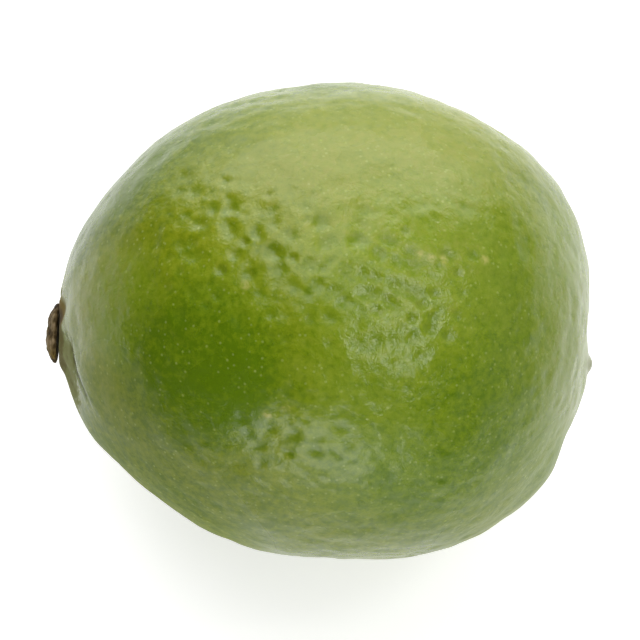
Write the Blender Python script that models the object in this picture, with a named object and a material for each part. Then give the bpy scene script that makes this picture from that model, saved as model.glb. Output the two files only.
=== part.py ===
"""A whole lime, as picked, lying on its side: the fruit, and the dried stem button at its stalk end.

Metres, +Z up. The fruit's length runs along X, with the stem button at -X and the nipple at +X. The
origin is the middle of the small flat spot that the fruit rests on.
"""

import math
import random

import bmesh
import bpy
import numpy as np
from mathutils import Vector, noise

# The belly: a round body whose profile is a superellipse, longer at the stem end, fuller at the other.
BELLY_RADIUS = 0.0261
STEM_HALF_LENGTH = 0.0308
BLOSSOM_HALF_LENGTH = 0.0264
STEM_FULLNESS = 2.01  # 2 is an ellipse, and more is squarer
BLOSSOM_FULLNESS = 2.24
SWELLING = 0.00025  # slow swells of the skin
SWELL_SIZE = 0.011

# Where the belly stands out or is pressed in: direction from its middle, height, width in radians.
LUMPS = (
    ((0.80, -0.58, -0.16), 0.00070, 0.20),
    ((0.91, -0.39, -0.11), -0.00030, 0.11),
    ((0.97, -0.23, -0.06), 0.00040, 0.09),
    ((0.96, 0.27, 0.07), 0.00030, 0.12),
    ((0.87, 0.48, 0.13), 0.00040, 0.22),
    ((0.47, 0.85, 0.23), -0.00040, 0.25),
    ((-0.89, 0.44, 0.12), -0.00025, 0.15),
    ((0.02, -0.96, -0.26), -0.00050, 0.40),
    ((-0.73, -0.66, -0.18), -0.00030, 0.22),
    ((-0.91, -0.40, -0.11), 0.00050, 0.15),
    ((0.30, 0.30, -0.90), 0.00030, 0.35),
    ((-0.45, 0.60, -0.66), -0.00040, 0.40),
    ((-0.15, -0.35, 0.92), 0.00020, 0.45),
)

# Stem and nipple lie on one line along X, which passes this far off the belly's middle.
AXIS_Y = -0.0026
AXIS_Z = -0.0014

# The stem end: a low neck, with furrows running out from the seat that carries the button.
NECK_HEIGHT = 0.0007
NECK_RADIUS = 0.0052
SEAT_X = -0.0307
SEAT_RADIUS = 0.0030
FURROWS = 9
FURROW_DEPTH = 0.0005
FURROW_RADIUS = 0.0058
FURROW_REACH = 0.0030
FURROW_WIDTH = 0.20  # radians

# Beside the stem, a straight groove ends the dry skin, with a swollen lip above it. Its two ends are
# given as y and z from the stem's line.
GROOVE_START = (-0.0032, 0.0073)
GROOVE_END = (-0.0092, 0.0064)
GROOVE_DEPTH = 0.00035
GROOVE_WIDTH = 0.00050
LIP_HEIGHT = 0.00015

# The blossom end: a small nipple in a shallow ring.
NIPPLE_HEIGHT = 0.0010
NIPPLE_RADIUS = 0.0015
RING_DEPTH = 0.00012
RING_RADIUS = 0.0040
RING_WIDTH = 0.0014

# The flat spot: the skin is pressed in by this much, and rounds off into the belly.
FLAT_DEPTH = 0.0008
FLAT_ROUNDING = 0.0003

# The pores: a hollow at each point of a loosened spiral, closer together at both ends.
PORES = 1180
END_CROWDING = 4.5
END_SPREAD = 0.26  # radians
PORE_LOOSENESS = 0.14  # share of the spacing
PORE_DEPTH = 0.00038
PORE_UNEVENNESS = 0.75  # share of the depth by which one pore differs from the next
RIDGE_UNEVENNESS = 0.00008
SEED = 7

# The stem button: the five-lobed calyx, dried hard, with the scar that the stalk left in its middle.
BUTTON_RADIUS = 0.0033
BUTTON_THICKNESS = 0.0012
BUTTON_GAP = 0.0003
LOBES = 5
LOBE_DEPTH = 0.11  # share of the radius
SCAR_RADIUS = 0.0016
SCAR_DEPTH = 0.00035
BUTTON_SIDES = 40

GOLDEN_ANGLE = math.pi * (3 - math.sqrt(5))
RIND_GREEN = (0.17, 0.29, 0.02)
BUTTON_BROWN = (0.13, 0.085, 0.045)


def clear_scene():
    for obj in list(bpy.data.objects):
        bpy.data.objects.remove(obj)


def material(name, colour, roughness):
    made = bpy.data.materials.new(name)
    made.use_nodes = True
    shader = made.node_tree.nodes["Principled BSDF"]
    shader.inputs["Base Color"].default_value = (*colour, 1)
    shader.inputs["Roughness"].default_value = roughness
    shader.inputs["Metallic"].default_value = 0
    return made


def smooth_step(low, high, value):
    t = np.clip((value - low) / (high - low), 0, 1)
    return t * t * (3 - 2 * t)


# --- the skin's shape: every function takes an (n, 3) array of points or unit directions ---


def belly(directions):
    """Where each direction from the belly's middle meets the smooth belly."""
    along = directions[:, 0]
    across = np.hypot(directions[:, 1], directions[:, 2])
    to_stem = along < 0
    half = np.where(to_stem, STEM_HALF_LENGTH, BLOSSOM_HALF_LENGTH)
    power = np.where(to_stem, STEM_FULLNESS, BLOSSOM_FULLNESS)
    reach = (np.abs(along) / half) ** power + (across / BELLY_RADIUS) ** power
    return directions * (reach ** (-1 / power))[:, None]


def swells(directions):
    """Slow unevenness, from -1 to 1, of the size that SWELL_SIZE gives."""
    scale = BELLY_RADIUS / SWELL_SIZE
    return np.array([noise.noise(Vector(d) * scale) for d in directions])


def lumps(directions):
    """The height of the lumps and pressed places in each direction."""
    total = np.zeros(len(directions))
    for middle, height, width in LUMPS:
        middle = np.array(middle) / np.linalg.norm(middle)
        away = np.arccos(np.clip(directions @ middle, -1, 1))
        total += height * np.exp(-((away / width) ** 2))
    return total


def round_the_axis(points):
    """Each point's distance from the stem and nipple's line, and its angle round it."""
    y = points[:, 1] - AXIS_Y
    z = points[:, 2] - AXIS_Z
    return np.hypot(y, z), np.arctan2(z, y)


def furrow_depth(distance, angle):
    """Furrows of uneven length, which start at the seat and fade into the belly."""
    draw = random.Random(SEED)
    total = np.zeros(len(distance))
    for number in range(FURROWS):
        middle = (number + draw.uniform(-0.25, 0.25)) * 2 * math.pi / FURROWS
        strength = draw.uniform(0.45, 1.0)
        off = np.angle(np.exp(1j * (angle - middle)))
        total += strength * np.exp(-((off / FURROW_WIDTH) ** 2))
    along = np.exp(-(((distance - FURROW_RADIUS) / FURROW_REACH) ** 2))
    return FURROW_DEPTH * total * along


def groove_and_lip(points):
    """How far the skin rises along the groove's line: down in the groove, and up on the lip above it."""
    line = np.subtract(GROOVE_END, GROOVE_START)
    length = np.hypot(*line)
    across = points[:, 1:] - (AXIS_Y, AXIS_Z) - GROOVE_START
    along = across @ line / length
    above = (across[:, 0] * line[1] - across[:, 1] * line[0]) / length
    share = smooth_step(-0.0016, 0.0006, along) * (1 - smooth_step(-0.0016, 0.0012, along - length))
    groove = GROOVE_DEPTH * np.exp(-((above / GROOVE_WIDTH) ** 2))
    lip = LIP_HEIGHT * np.exp(-(((above - 2 * GROOVE_WIDTH) / (1.5 * GROOVE_WIDTH)) ** 2))
    return (lip - groove) * share


def stem_end(points):
    """Raises the neck, furrows it and levels its top to the seat."""
    distance, angle = round_the_axis(points)
    stem_side = points[:, 0] < 0
    neck = NECK_HEIGHT * np.exp(-((distance / NECK_RADIUS) ** 2))
    neck += groove_and_lip(points) - furrow_depth(distance, angle)
    points[stem_side, 0] -= neck[stem_side]
    off_seat = smooth_step(SEAT_RADIUS, 1.6 * SEAT_RADIUS, distance)
    levelled = SEAT_X + (points[:, 0] - SEAT_X) * off_seat
    points[stem_side, 0] = levelled[stem_side]


def blossom_end(points):
    """Raises the nipple inside its shallow ring."""
    distance, _ = round_the_axis(points)
    nipple = NIPPLE_HEIGHT * np.exp(-((distance / NIPPLE_RADIUS) ** 2))
    ring = RING_DEPTH * np.exp(-(((distance - RING_RADIUS) / RING_WIDTH) ** 2))
    blossom_side = points[:, 0] > 0
    points[blossom_side, 0] += (nipple - ring)[blossom_side]


def flat_spot(points):
    """Presses the lowest skin flat, rounding off round it. Afterwards z = 0 is the surface it rests on."""
    floor = points[:, 2].min() + FLAT_DEPTH
    height = points[:, 2] - floor
    rounded = (height + FLAT_ROUNDING) ** 2 / (4 * FLAT_ROUNDING)
    height = np.where(height > FLAT_ROUNDING, height, rounded)
    points[:, 2] = np.where(points[:, 2] - floor < -FLAT_ROUNDING, 0, height)
    return floor


# --- the mesh: a triangle net whose corners are the pores and the ridges between them ---


def crowding(polar):
    """How many times closer to each other the pores are at an angle from the stem end, by area."""
    to_stem = np.exp(-((polar / END_SPREAD) ** 2))
    to_blossom = np.exp(-(((math.pi - polar) / END_SPREAD) ** 2))
    return 1 + END_CROWDING * (to_stem + to_blossom)


def pore_directions():
    """Directions of the pores, on a golden-angle spiral from the stem end to the blossom end."""
    polar = np.linspace(0, math.pi, 2001)
    share = np.cumsum(np.sin(polar) * crowding(polar))
    share /= share[-1]
    steps = (np.arange(PORES) + 0.5) / PORES
    polar_at = np.interp(steps, share, polar)
    angle_at = GOLDEN_ANGLE * np.arange(PORES)
    directions = np.stack(
        [
            -np.cos(polar_at),
            np.sin(polar_at) * np.cos(angle_at),
            np.sin(polar_at) * np.sin(angle_at),
        ],
        axis=1,
    )
    spacing = math.sqrt(4 * math.pi / PORES) / np.sqrt(crowding(polar_at))
    loosen = np.random.default_rng(SEED).uniform(-1, 1, directions.shape)
    directions += loosen * (PORE_LOOSENESS * spacing)[:, None]
    return directions / np.linalg.norm(directions, axis=1)[:, None]


def pore_net():
    """A ball of triangles: a corner at each pore, and one halfway along each edge between two pores."""
    net = bmesh.new()
    for direction in pore_directions():
        net.verts.new(direction)
    bmesh.ops.convex_hull(net, input=net.verts)
    bmesh.ops.subdivide_edges(net, edges=net.edges, cuts=1, use_grid_fill=True)
    bmesh.ops.triangulate(net, faces=net.faces)
    bmesh.ops.recalc_face_normals(net, faces=net.faces)
    net.verts.index_update()
    return net


def pore_hollows(directions, points):
    """How far each corner sinks: the pores do, each by its own amount, and the ridges hardly do."""
    is_pore = np.arange(len(directions)) < PORES
    uneven = np.random.default_rng(SEED + 1).uniform(-1, 1, len(directions))
    sunk = np.where(is_pore, PORE_DEPTH * (1 + PORE_UNEVENNESS * uneven), RIDGE_UNEVENNESS * uneven)
    polar = np.arccos(np.clip(-directions[:, 0], -1, 1))
    distance, _ = round_the_axis(points)
    return sunk / crowding(polar) * smooth_step(SEAT_RADIUS, 3 * SEAT_RADIUS, distance)


def fruit():
    """Makes the fruit, and returns the height of the stem and nipple's line above the resting surface."""
    net = pore_net()
    directions = np.array([vert.co.normalized() for vert in net.verts])
    points = belly(directions)
    points += directions * (SWELLING * swells(directions) + lumps(directions))[:, None]
    points -= directions * pore_hollows(directions, points)[:, None]
    blossom_end(points)
    stem_end(points)
    floor = flat_spot(points)
    for vert, point in zip(net.verts, points):
        vert.co = point
    mesh = bpy.data.meshes.new("fruit")
    net.to_mesh(mesh)
    net.free()
    mesh.shade_smooth()
    mesh.materials.append(material("rind", RIND_GREEN, 0.35))
    made = bpy.data.objects.new("fruit", mesh)
    bpy.context.scene.collection.objects.link(made)
    return AXIS_Z - floor


# --- the stem button ---


def button_profile():
    """(share of the lobed radius, height) from the underside's middle, round the rim, to the scar."""
    top = BUTTON_THICKNESS
    scar = SCAR_RADIUS / BUTTON_RADIUS
    return (
        (0.45, 0.0),
        (0.90, 0.0),
        (0.98, 0.07 * top),
        (1.00, 0.20 * top),
        (0.97, 0.36 * top),
        (0.88, 0.54 * top),
        (0.76, 0.72 * top),
        (0.64, 0.84 * top),
        (scar * 1.16, 0.93 * top),
        (scar * 1.02, top),
        (scar * 0.86, top - 0.7 * SCAR_DEPTH),
        (scar * 0.45, top - SCAR_DEPTH),
    )


def lobed(share, angle):
    """The radius at a share of the way out: a circle near the middle, five blunt lobes at the rim."""
    notch = (0.5 - 0.5 * math.cos(LOBES * angle)) ** 3
    depth = LOBE_DEPTH * smooth_step(0.45, 1.0, share)
    return BUTTON_RADIUS * share * (1 - depth * notch)


def button(axis_height):
    """The button, standing on the seat with its face to -X."""
    made = bmesh.new()
    profile = button_profile()
    rings = []
    for share, height in profile:
        ring = []
        for side in range(BUTTON_SIDES):
            angle = 2 * math.pi * side / BUTTON_SIDES
            radius = lobed(share, angle)
            ring.append(made.verts.new((-height, radius * math.cos(angle), radius * math.sin(angle))))
        rings.append(ring)
    for inner, outer in zip(rings, rings[1:]):
        edges = [made.edges.get(pair) or made.edges.new(pair) for ring in (inner, outer)
                 for pair in zip(ring, ring[1:] + ring[:1])]
        bmesh.ops.bridge_loops(made, edges=edges)
    for ring in (rings[0], rings[-1]):
        middle = made.verts.new(sum((vert.co for vert in ring), Vector()) / BUTTON_SIDES)
        for first, second in zip(ring, ring[1:] + ring[:1]):
            made.faces.new((first, second, middle))
    bmesh.ops.triangulate(made, faces=made.faces)
    bmesh.ops.recalc_face_normals(made, faces=made.faces)
    mesh = bpy.data.meshes.new("stem_button")
    made.to_mesh(mesh)
    made.free()
    mesh.shade_smooth()
    mesh.set_sharp_from_angle(angle=math.radians(50))
    mesh.materials.append(material("dried_calyx", BUTTON_BROWN, 0.8))
    placed = bpy.data.objects.new("stem_button", mesh)
    placed.location = (SEAT_X - BUTTON_GAP, AXIS_Y, axis_height)
    bpy.context.scene.collection.objects.link(placed)


clear_scene()
button(fruit())
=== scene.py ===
# %% [markdown]
# # A lime, on its side
#
# A lime is a thick-skinned berry. What we see of it is the rind: a waxy green skin over a layer that is
# full of tiny oil glands, with a blunt nipple where the flower was, and a dry brown button where it hung.
#
# The solid model already has the right size and form. Its skin is coarse, though, with pores drawn larger
# than life, so that the file stays small. Here the two pieces are made again, finely enough for a close
# look, and get their finishes. The first step loads the solids and keeps the box that they fill. Every
# length is in metres: x runs from the stem to the nipple, y to the back, and z up.

# %% Load the solids
import math
import random

import bmesh
import bpy
import numpy as np
from mathutils import Matrix, Vector, kdtree, noise


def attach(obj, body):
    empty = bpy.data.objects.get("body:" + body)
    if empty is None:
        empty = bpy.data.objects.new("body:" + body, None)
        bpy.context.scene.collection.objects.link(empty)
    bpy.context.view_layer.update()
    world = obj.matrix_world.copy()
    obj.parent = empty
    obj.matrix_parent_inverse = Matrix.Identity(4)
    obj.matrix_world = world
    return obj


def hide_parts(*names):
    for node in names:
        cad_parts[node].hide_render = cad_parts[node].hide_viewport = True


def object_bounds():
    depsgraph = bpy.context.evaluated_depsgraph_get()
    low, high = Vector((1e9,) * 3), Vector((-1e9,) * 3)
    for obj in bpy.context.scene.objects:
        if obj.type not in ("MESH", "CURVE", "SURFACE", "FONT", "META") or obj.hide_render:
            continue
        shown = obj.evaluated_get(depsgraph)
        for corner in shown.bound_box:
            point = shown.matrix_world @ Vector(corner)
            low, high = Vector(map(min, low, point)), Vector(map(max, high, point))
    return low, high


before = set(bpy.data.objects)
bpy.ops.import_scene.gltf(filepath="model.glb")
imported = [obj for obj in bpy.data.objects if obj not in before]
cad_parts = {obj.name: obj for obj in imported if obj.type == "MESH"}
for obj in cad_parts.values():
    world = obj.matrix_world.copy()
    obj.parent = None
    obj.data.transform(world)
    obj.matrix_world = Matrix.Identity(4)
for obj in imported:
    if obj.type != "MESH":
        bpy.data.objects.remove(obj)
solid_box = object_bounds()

print("solids:", ", ".join(sorted(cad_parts)))

# %% [markdown]
# ## Working on many points at once
#
# The rind has about a hundred thousand corners. A Python loop over them is slow, so each shape function
# below takes one numpy array, with a row for each point. Three small helpers come up everywhere: a ramp
# that starts and stops softly, a rounded bump that fades out to nothing, and one that keeps only the
# direction of a vector.

# %% Soft ramp, soft bump and direction
def soft_ramp(low, high, value):
    """0 below low, 1 above high, and a smooth S between them."""
    t = np.clip((value - low) / (high - low), 0, 1)
    return t * t * (3 - 2 * t)


def soft_bump(away, width):
    """1 where away is 0, falling off smoothly over about one width."""
    return np.exp(-((away / width) ** 2))


def unit(vectors):
    """The same directions, each with the length 1."""
    vectors = np.asarray(vectors, float)
    return vectors / np.linalg.norm(vectors, axis=-1, keepdims=True)


print("halfway up a ramp:", float(soft_ramp(0, 1, 0.5)))

# %% [markdown]
# ## The belly
#
# A lime isn't a ball. Cut lengthwise, it is a long half-ellipse on the stem side and a shorter, squarer
# one on the blossom side. A superellipse gives both from one formula: the power 2 is a plain ellipse, and
# a larger one pushes the shoulders out. Points are found by direction, as if each ray from the middle of
# the belly were followed out until it met the skin.

# %% The smooth belly
BELLY_RADIUS = 0.0261
STEM_HALF_LENGTH = 0.0308
BLOSSOM_HALF_LENGTH = 0.0264
STEM_FULLNESS = 2.01
BLOSSOM_FULLNESS = 2.24


def belly(directions):
    along = directions[:, 0]
    across = np.hypot(directions[:, 1], directions[:, 2])
    to_stem = along < 0
    half = np.where(to_stem, STEM_HALF_LENGTH, BLOSSOM_HALF_LENGTH)
    power = np.where(to_stem, STEM_FULLNESS, BLOSSOM_FULLNESS)
    reach = (np.abs(along) / half) ** power + (across / BELLY_RADIUS) ** power
    return directions * (reach ** (-1 / power))[:, None]


print("length of the belly:", round(1000 * (STEM_HALF_LENGTH + BLOSSOM_HALF_LENGTH), 1), "mm")

# %% [markdown]
# ## Lumps and swells
#
# No fruit grows evenly: each segment inside pushes the rind out by its own amount. A short list of soft
# lumps and pressed-in places gives this lime its own outline. Each has a direction from the belly's
# middle, a height, which is negative where the skin is pressed in, and a width in radians. The last is a
# small dent at the front. Between them the skin swells slowly, which is what makes long reflections
# waver. Smooth noise does that well, because it has no seams on a ball.

# %% Lumps and swells
SWELLING = 0.00025
SWELL_SIZE = 0.011
LUMPS = (
    ((0.80, -0.58, -0.16), 0.00070, 0.20),
    ((0.91, -0.39, -0.11), -0.00030, 0.11),
    ((0.97, -0.23, -0.06), 0.00040, 0.09),
    ((0.96, 0.27, 0.07), 0.00030, 0.12),
    ((0.87, 0.48, 0.13), 0.00040, 0.22),
    ((0.47, 0.85, 0.23), -0.00040, 0.25),
    ((-0.89, 0.44, 0.12), -0.00025, 0.15),
    ((0.02, -0.96, -0.26), -0.00050, 0.40),
    ((-0.73, -0.66, -0.18), -0.00030, 0.22),
    ((-0.91, -0.40, -0.11), 0.00050, 0.15),
    ((0.30, 0.30, -0.90), 0.00030, 0.35),
    ((-0.45, 0.60, -0.66), -0.00040, 0.40),
    ((-0.15, -0.35, 0.92), 0.00020, 0.45),
    ((-0.26, -0.67, 0.70), -0.00020, 0.08),
)


def angle_from(directions, towards):
    """The angle of each direction from another, in radians."""
    return np.arccos(np.clip(directions @ unit(towards), -1, 1))


def swells(directions, size, seed=0):
    """Slow unevenness from -1 to 1. Another seed gives another pattern of the same size."""
    shift = Vector((seed * 7.3, seed * 3.1, seed * 5.7))
    return np.array([noise.noise(Vector(d) * (BELLY_RADIUS / size) + shift) for d in directions])


def lumps(directions):
    return sum(height * soft_bump(angle_from(directions, at), width) for at, height, width in LUMPS)


print(len(LUMPS), "lumps and pressed-in places")

# %% [markdown]
# ## The stem end
#
# Where the lime hung, the rind rises in a low neck, and dries into furrows that run out from the button.
# On one side the dry skin reaches further, up to a straight groove with a swollen lip above it.
# Everything here is measured from the line through stem and nipple, which runs a little off the belly's
# middle, as it does on most limes. The groove's two ends are given as how far to the back of that line
# and how far above it they lie. The top of the neck is level, as the seat for the button.

# %% Measure from the line through stem and nipple
AXIS_Y = -0.0026
AXIS_Z = -0.0014


def round_the_axis(points):
    """Each point's distance from the stem and nipple's line, and its angle round it."""
    y = points[:, 1] - AXIS_Y
    z = points[:, 2] - AXIS_Z
    return np.hypot(y, z), np.arctan2(z, y)


def angle_off(angle, middle):
    """How far round the line, from -pi to pi."""
    return np.angle(np.exp(1j * (angle - middle)))


print("the line runs", round(-1000 * AXIS_Y, 1), "mm in front of the belly's middle")

# %% Furrows
SEED = 7
FURROWS = 9
FURROW_DEPTH = 0.0005
FURROW_RADIUS = 0.0058
FURROW_REACH = 0.0030
FURROW_WIDTH = 0.20
FURROW_SHIFT = 0.25
FURROW_LEAST = 0.45


def furrow_depth(distance, angle):
    draw = random.Random(SEED)
    total = np.zeros(len(distance))
    for number in range(FURROWS):
        middle = (number + draw.uniform(-FURROW_SHIFT, FURROW_SHIFT)) * 2 * math.pi / FURROWS
        strength = draw.uniform(FURROW_LEAST, 1.0)
        total += strength * soft_bump(angle_off(angle, middle), FURROW_WIDTH)
    return FURROW_DEPTH * total * soft_bump(distance - FURROW_RADIUS, FURROW_REACH)


print(FURROWS, "furrows, up to", round(1000 * FURROW_DEPTH, 1), "mm deep")

# %% Groove and lip
GROOVE_START = (-0.0032, 0.0073)
GROOVE_END = (-0.0092, 0.0064)
GROOVE_DEPTH = 0.00035
GROOVE_WIDTH = 0.00050
GROOVE_FADE_IN = (-0.0016, 0.0006)
GROOVE_FADE_OUT = (-0.0016, 0.0012)
LIP_HEIGHT = 0.00015


def beside_groove(points):
    """How far above the groove's line each point lies, and a share that fades out past its two ends."""
    line = np.subtract(GROOVE_END, GROOVE_START)
    length = np.hypot(*line)
    across = points[:, 1:] - (AXIS_Y, AXIS_Z) - GROOVE_START
    along = across @ line / length
    above = (across[:, 0] * line[1] - across[:, 1] * line[0]) / length
    share = soft_ramp(*GROOVE_FADE_IN, along) * (1 - soft_ramp(*GROOVE_FADE_OUT, along - length))
    return above, share


def groove_and_lip(points):
    above, share = beside_groove(points)
    groove = GROOVE_DEPTH * soft_bump(above, GROOVE_WIDTH)
    lip = LIP_HEIGHT * soft_bump(above - 2 * GROOVE_WIDTH, 1.5 * GROOVE_WIDTH)
    return (lip - groove) * share


print("groove", round(1000 * math.dist(GROOVE_START, GROOVE_END), 1), "mm long")

# %% Neck and seat
NECK_HEIGHT = 0.0007
NECK_RADIUS = 0.0052
SEAT_X = -0.0307
SEAT_RADIUS = 0.0030


def stem_end(points):
    distance, angle = round_the_axis(points)
    stem_side = points[:, 0] < 0
    neck = NECK_HEIGHT * soft_bump(distance, NECK_RADIUS)
    neck += groove_and_lip(points) - furrow_depth(distance, angle)
    points[stem_side, 0] -= neck[stem_side]
    off_seat = soft_ramp(SEAT_RADIUS, 1.6 * SEAT_RADIUS, distance)
    levelled = SEAT_X + (points[:, 0] - SEAT_X) * off_seat
    points[stem_side, 0] = levelled[stem_side]


print("seat of the button:", round(2000 * SEAT_RADIUS, 1), "mm across")

# %% [markdown]
# ## The blossom end
#
# The style of the flower leaves a small blunt nipple in a shallow ring. It is a little nub with a nearly
# flat top, on a broad, low foot, with a ring-shaped hollow round them, all pushed out along the fruit's
# length. A single smooth bump would come to a point, which looks pinched.

# %% Nipple and ring
NUB_HEIGHT = 0.00045
NUB_TOP = 0.0002
NUB_RADIUS = 0.0014
FOOT_HEIGHT = 0.00035
FOOT_RADIUS = 0.0026
RING_DEPTH = 0.00012
RING_RADIUS = 0.0040
RING_WIDTH = 0.0014


def blossom_end(points):
    distance, _ = round_the_axis(points)
    nipple = NUB_HEIGHT * (1 - soft_ramp(NUB_TOP, NUB_RADIUS, distance))
    nipple += FOOT_HEIGHT * soft_bump(distance, FOOT_RADIUS)
    ring = RING_DEPTH * soft_bump(distance - RING_RADIUS, RING_WIDTH)
    blossom_side = points[:, 0] > 0
    points[blossom_side, 0] += (nipple - ring)[blossom_side]


print("nipple stands out by", round(1000 * (NUB_HEIGHT + FOOT_HEIGHT), 2), "mm")

# %% [markdown]
# ## The flat spot
#
# A ripe lime that has lain for a while is pressed flat where it touches the table. The lowest skin is
# levelled and rounds off into the belly. After this step, the height 0 is the table.

# %% Press the underside flat
FLAT_DEPTH = 0.0008
FLAT_ROUNDING = 0.0003


def flat_spot(points, floor):
    height = points[:, 2] - floor
    rounded = (height + FLAT_ROUNDING) ** 2 / (4 * FLAT_ROUNDING)
    eased = np.where(height > FLAT_ROUNDING, height, rounded)
    points[:, 2] = np.where(height < -FLAT_ROUNDING, 0, eased)


print("underside pressed in by", round(1000 * FLAT_DEPTH, 1), "mm")

# %% [markdown]
# ## An even net over a ball
#
# A globe's net of meridians crowds at its poles, and shows there. A cube whose sides are cut into squares
# and then blown up into a ball is nearly even all over. Taking the tangent of each coordinate first evens
# it out further. The squares come to about a third of a millimetre, so that pores can be real hollows.

# %% Blow up a cube into a ball
SQUARES = 128


def ball_net():
    net = bmesh.new()
    bmesh.ops.create_cube(net, size=2)
    bmesh.ops.subdivide_edges(net, edges=net.edges, cuts=SQUARES - 1, use_grid_fill=True)
    mesh = bpy.data.meshes.new("rind_fine")
    net.to_mesh(mesh)
    net.free()
    corners = np.empty(3 * len(mesh.vertices))
    mesh.vertices.foreach_get("co", corners)
    return mesh, unit(np.tan(corners.reshape(-1, 3) * math.pi / 4))


rind_mesh, directions = ball_net()
print("corners of the rind:", len(directions))

# %% [markdown]
# ## Pores
#
# The skin sinks a little over each oil gland. Real pores differ a lot: most are hardly there, and some
# patches are deeply pitted. They are laid out on a golden-angle spiral, which spaces points evenly on a
# ball, and each is then nudged, stretched and deepened by its own random amount. The pitted patches have
# a direction, a width in radians and an extra depth, which is negative where the skin is smooth. For
# every corner of the net, a search tree finds the few pores near it, so that nothing is compared with
# everything.

# %% Lay out the pores
PORES = 3000
PORE_NUDGE = 0.42  # as a share of the room between pores
PORE_RADIUS = 0.00062
PORE_SIZES = (0.65, 1.35)
PORE_DEPTH = 0.000100
PORE_DEPTHS = (0.1, 1.0)
PORE_RARITY = 1.3  # above 1, deep pores are rarer than shallow ones
PORE_DEEPEST = 1.8
PORE_STRETCH = 1.1
GRAIN_RUNS = (0.85, -0.49, -0.13)  # long pores lie mostly along this line
GRAIN_SCATTER = 0.45
PIT_CLOUDS = 0.009
PIT_SHARE = 0.65
PIT_LEAST = 0.12
PITTED = (
    ((-0.33, 0.02, 0.94), 0.26, 1.9),
    ((-0.56, 0.16, 0.81), 0.20, 0.9),
    ((0.24, -0.12, 0.96), 0.24, 2.0),
    ((-0.24, -0.64, 0.73), 0.22, 1.4),
    ((-0.05, 0.60, 0.80), 0.38, -0.6),
    ((-0.45, -0.40, 0.80), 0.20, -0.5),
    ((0.60, 0.30, -0.75), 0.45, 0.8),
    ((-0.20, 0.95, -0.25), 0.40, 0.8),
)


def spiral(count):
    """Directions spread evenly over a ball."""
    steps = (np.arange(count) + 0.5) / count
    along = 1 - 2 * steps
    across = np.sqrt(1 - along**2)
    turn = math.pi * (3 - math.sqrt(5)) * np.arange(count)
    return np.stack([along, across * np.cos(turn), across * np.sin(turn)], axis=1)


def pore_table(draw):
    """Each pore's direction, depth, radius, stretch, and the line that it is stretched along."""
    spacing = math.sqrt(4 * math.pi / PORES)
    at = unit(spiral(PORES) + draw.uniform(-PORE_NUDGE, PORE_NUDGE, (PORES, 3)) * spacing)
    pitted = 1 - PIT_SHARE + PIT_SHARE * np.clip(swells(at, PIT_CLOUDS, 3) + 0.3, 0, 1)
    for towards, width, extra in PITTED:
        pitted = pitted + extra * soft_bump(angle_from(at, towards), width)
    pitted = np.maximum(pitted, PIT_LEAST)
    depth = PORE_DEPTH * pitted * draw.uniform(*PORE_DEPTHS, PORES) ** PORE_RARITY * PORE_DEEPEST
    radius = PORE_RADIUS * draw.uniform(*PORE_SIZES, PORES)
    stretch = 1.0 + PORE_STRETCH * draw.random(PORES)
    lie = unit(unit(GRAIN_RUNS) + draw.normal(0, GRAIN_SCATTER, (PORES, 3)))
    return at, depth, radius, stretch, lie


print(PORES, "pores, in", len(PITTED), "pitted or smooth patches")

# %% Sink the skin at the pores
NEAREST = 5


def pore_hollows(places, draw):
    """How deep the skin sinks at each place, in metres."""
    at, depth, radius, stretch, lie = pore_table(draw)
    centres = belly(at)
    tree = kdtree.KDTree(PORES)
    for number, centre in enumerate(centres):
        tree.insert(centre, number)
    tree.balance()
    near = np.array([[number for _, number, _ in tree.find_n(place, NEAREST)] for place in places])
    sunk = np.zeros(len(places))
    for column in range(NEAREST):
        which = near[:, column]
        offset = places - centres[which]
        along = np.einsum("ij,ij->i", offset, lie[which])
        beside = np.maximum(np.einsum("ij,ij->i", offset, offset) - along**2, 0)
        away = np.sqrt((along / stretch[which]) ** 2 + beside)
        sunk = np.maximum(sunk, depth[which] * soft_bump(away, radius[which]))
    return sunk


places = belly(directions)
hollows = pore_hollows(places, np.random.default_rng(SEED))
print("deepest pore:", round(1000 * float(hollows.max()), 3), "mm")

# %% [markdown]
# ## Dry skin round the stem
#
# The rind next to the button dries first. It makes a dull, streaky collar, which on one side fills the
# patch up to the groove. One function tells how dry each place is, which the colour needs later, and how
# the dry skin there has puckered. It also marks the groove for painted shade in its bottom and a painted
# highlight along its lip, with a slow waver, because nothing grown is ruled. The skin round the nipple is
# puckered too, in coarser folds.

# %% Collar, patch and puckers
COLLAR_INNER = 0.0044
COLLAR_OUTER = 0.0060
PATCH_RADIUS = 0.0115
PATCH_EDGE = (-0.0002, 0.0003)
PATCH_TURN = (1.7, 2.1)
PATCH_DRYNESS = 0.7
STEM_SIDE = (-0.022, -0.026)
CREASE = 0.00006
CREASE_SIZE = 0.0010
BLOSSOM_CREASE = 0.00010
BLOSSOM_CREASE_SIZE = 0.0013
BLOSSOM_CREASE_RADIUS = 0.0090
GROOVE_WAVER = 0.0003
GROOVE_WAVER_SIZE = 0.0018
LIP_MARK = (2.4 * GROOVE_WIDTH, 0.0009)  # how far above the line its middle lies, and its width
GROOVE_MARK = (-0.0002, 0.00035)


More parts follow.
